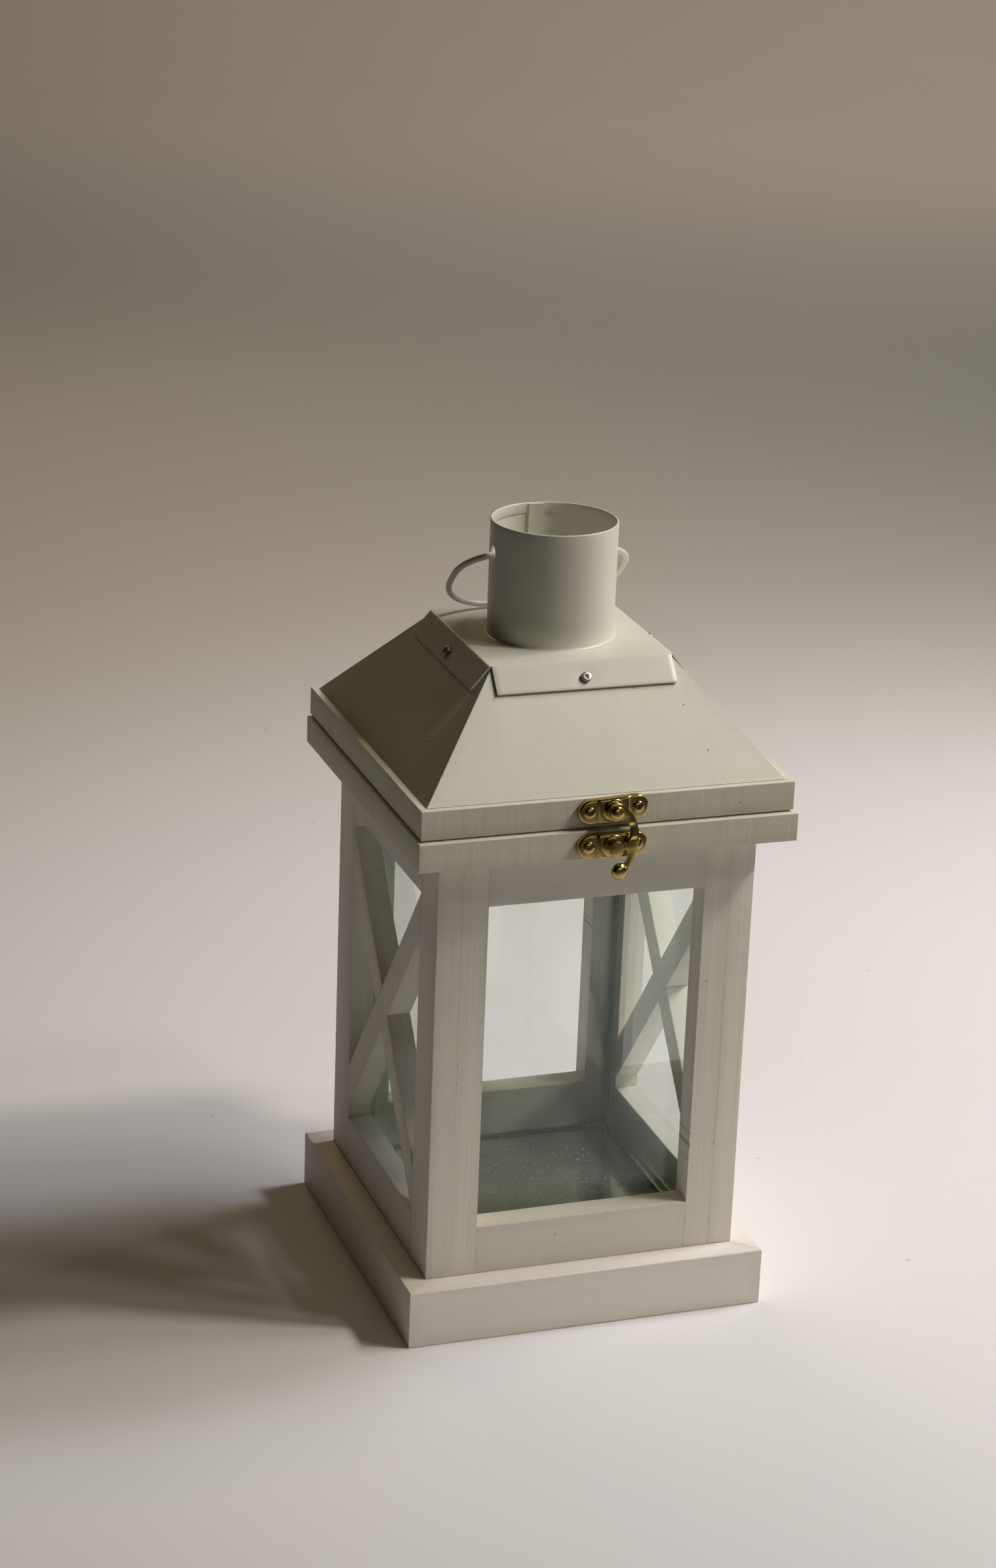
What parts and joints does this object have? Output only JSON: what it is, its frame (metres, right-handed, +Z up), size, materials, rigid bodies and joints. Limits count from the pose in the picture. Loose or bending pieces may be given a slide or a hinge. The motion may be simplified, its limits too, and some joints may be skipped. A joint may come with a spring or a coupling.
{
  "type": "candle lantern",
  "caption": "Glazed wooden box lantern with braced sides, a hinged hip roof held by a brass swing hook, and a metal cap with a chimney and a folding wire handle.",
  "frame": {"origin": "middle of the base's underside, midway between its sides", "axes": "+Z up to the chimney, +Y to the back where the lid's hinges are, so -Y is the front with the latch, +X to the right as seen from the front"},
  "size_m": [0.1544, 0.1652, 0.3153],
  "materials": {
    "white_wood": "satin off-white paint",
    "bare_board": "raw",
    "reflector": "polished, dusty",
    "pane_glass": "clear with a green tint",
    "white_sheet_metal": "satin off-white paint",
    "zinc_screw": "dull zinc",
    "polished_brass": "polished, lacquered"
  },
  "bodies": {
    "body": {"base_front": "white_wood", "base_right": "white_wood", "base_back": "white_wood", "base_left": "white_wood", "bottom_board": "bare_board", "floor_plate": "reflector", "front_stile_left": "white_wood", "front_stile_right": "white_wood", "front_rail_bottom": "white_wood", "front_rail_top": "white_wood", "back_stile_left": "white_wood", "back_stile_right": "white_wood", "back_rail_bottom": "white_wood", "back_rail_top": "white_wood", "right_stile_front": "white_wood", "right_stile_back": "white_wood", "right_rail_bottom": "white_wood", "right_rail_top": "white_wood", "right_brace_through": "white_wood", "right_brace_upper": "white_wood", "right_brace_lower": "white_wood", "left_stile_front": "white_wood", "left_stile_back": "white_wood", "left_rail_bottom": "white_wood", "left_rail_top": "white_wood", "left_brace_through": "white_wood", "left_brace_upper": "white_wood", "left_brace_lower": "white_wood", "glass_front": "pane_glass", "glass_right": "pane_glass", "glass_back": "pane_glass", "glass_left": "pane_glass", "collar_front": "white_wood", "collar_right": "white_wood", "collar_back": "white_wood", "collar_left": "white_wood", "latch_keeper_plate": "polished_brass", "hinge_left_body_leaf": "polished_brass", "hinge_left_pin": "polished_brass", "hinge_right_body_leaf": "polished_brass", "hinge_right_pin": "polished_brass"},
    "lid": {"lid_frame_front": "white_wood", "lid_frame_right": "white_wood", "lid_frame_back": "white_wood", "lid_frame_left": "white_wood", "roof_panel_front": "white_wood", "roof_panel_right": "white_wood", "roof_panel_back": "white_wood", "roof_panel_left": "white_wood", "cap_plate": "white_sheet_metal", "cap_screw_front": "zinc_screw", "cap_screw_right": "zinc_screw", "cap_screw_back": "zinc_screw", "cap_screw_left": "zinc_screw", "chimney_tube": "white_sheet_metal", "latch_pivot_plate": "polished_brass", "hinge_left_lid_leaf": "polished_brass", "hinge_right_lid_leaf": "polished_brass"},
    "bail": {"bail_handle": "white_sheet_metal"},
    "hook": {"latch_hook": "polished_brass"}
  },
  "joints": [
    {"name": "lid_hinge", "type": "hinge", "parent": "body", "child": "lid", "pos_m": [0, 0.07925, 0.21435], "axis": [-1, 0, 0], "range_deg": [0, 180]},
    {"name": "bail_swing", "type": "hinge", "parent": "lid", "child": "bail", "pos_m": [0, 0.00125, 0.3021], "axis": [1, 0, 0], "range_deg": [0, 263]},
    {"name": "hook_pivot", "type": "hinge", "parent": "lid", "child": "hook", "pos_m": [0.0003, -0.0805, 0.2219], "axis": [0, -1, 0], "range_deg": [0, 90]}
  ]
}
